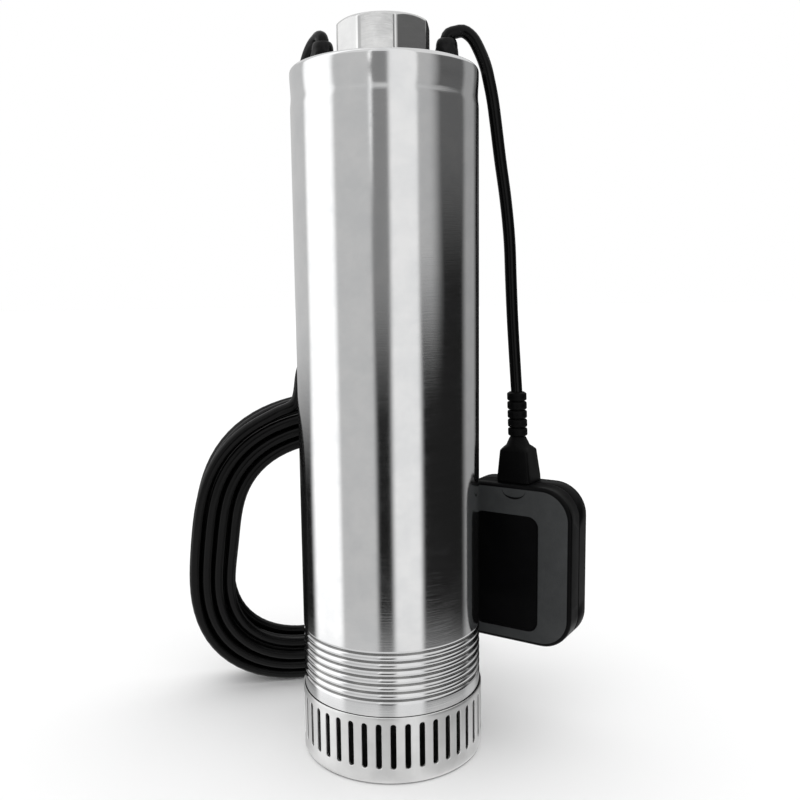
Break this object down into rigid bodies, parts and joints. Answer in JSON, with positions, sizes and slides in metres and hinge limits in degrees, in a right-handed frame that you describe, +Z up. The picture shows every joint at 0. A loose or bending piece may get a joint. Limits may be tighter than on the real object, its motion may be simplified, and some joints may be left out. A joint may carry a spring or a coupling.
{
  "type": "submersible sump pump",
  "caption": "Upright submersible sump pump: steel tube casing with slotted strainer, octagonal outlet boss, float switch on a short cable and coiled power cable.",
  "frame": {"origin": "centre of the strainer's flat underside", "axes": "+Z up along the shaft to the outlet, +X towards the float switch's gland, -Y towards the camera"},
  "size_m": [0.3154, 0.255, 0.5089],
  "materials": {
    "polished_steel": "polished stainless steel with fine turned lines",
    "satin_steel": "satin stainless steel",
    "machined_steel": "machined stainless steel",
    "bright_steel": "ground bright steel",
    "cast_iron": "cast, machined where it seats",
    "laminations": "stacked laminations, varnished",
    "copper": "enamelled wire",
    "aluminium": "die cast",
    "black_rubber": "semi-gloss black rubber",
    "black_plastic": "black, slightly glossy",
    "grey_plastic": "dark grey, satin",
    "pale_resin": "pale moulded resin",
    "carbon": "carbon"
  },
  "bodies": {
    "pump": {"casing_tube": "polished_steel", "strainer_basket": "satin_steel", "discharge_head": "satin_steel", "head_seal_ring": "black_rubber", "power_gland_body": "black_plastic", "power_gland_seal": "black_rubber", "power_gland_nut": "black_plastic", "float_gland_body": "black_plastic", "float_gland_seal": "black_rubber", "float_gland_nut": "black_plastic", "suction_plate": "machined_steel", "diffuser_1": "machined_steel", "diffuser_2": "machined_steel", "diffuser_3": "machined_steel", "seal_housing": "cast_iron", "housing_gasket": "black_rubber", "seal_seat": "pale_resin", "motor_sleeve": "satin_steel", "lower_bearing_bracket": "aluminium", "upper_bearing_bracket": "aluminium", "lower_bearing_outer_race": "machined_steel", "upper_bearing_outer_race": "machined_steel", "stator_core": "laminations", "lower_winding_head": "copper", "upper_winding_head": "copper", "motor_cap": "satin_steel", "cap_gasket": "black_rubber", "run_capacitor": "grey_plastic", "terminal_block": "black_plastic", "power_cable_riser": "black_rubber", "power_cable_coil": "black_rubber", "coil_tie": "black_rubber", "plug_strain_relief": "black_rubber", "power_plug": "black_plastic", "float_cable_arch": "black_rubber"},
    "rotor": {"shaft": "bright_steel", "rotor_core": "laminations", "lower_bearing_inner_race": "bright_steel", "upper_bearing_inner_race": "bright_steel", "seal_ring": "carbon", "seal_spring": "bright_steel", "impeller_1": "machined_steel", "impeller_2": "machined_steel", "impeller_3": "machined_steel", "impeller_nut": "machined_steel"},
    "float": {"float_cable_drop": "black_rubber", "float_boot": "black_plastic", "float_shell_front": "grey_plastic", "float_shell_back": "grey_plastic", "float_seam_seal": "black_rubber", "switch_case": "pale_resin", "microswitch": "black_plastic"},
    "ball": {"float_ball": "bright_steel"},
    "lever": {"switch_lever": "bright_steel"}
  },
  "joints": [
    {"name": "shaft_spin", "type": "hinge", "parent": "pump", "child": "rotor", "pos_m": [0, 0, 0.2], "axis": [0, 0, 1], "continuous": true},
    {"name": "float_swing", "type": "hinge", "parent": "pump", "child": "float", "pos_m": [0.0661, 0.0049, 0.49], "axis": [0.6921, -0.7218, 0], "range_deg": [0, 100], "deforming": ["float_cable_drop"]},
    {"name": "ball_roll", "type": "slide", "parent": "float", "child": "ball", "axis": [0, 0, 1], "range_m": [0, 0.044]},
    {"name": "lever_tip", "type": "hinge", "parent": "float", "child": "lever", "pos_m": [0.10787, 0.03016, 0.14325], "axis": [0.5388, 0.8425, 0], "range_deg": [0, 15.3]}
  ],
  "couplings": [
    {"joint": "lever_tip", "follows": "ball_roll", "rad_per_m": 6.05}
  ]
}
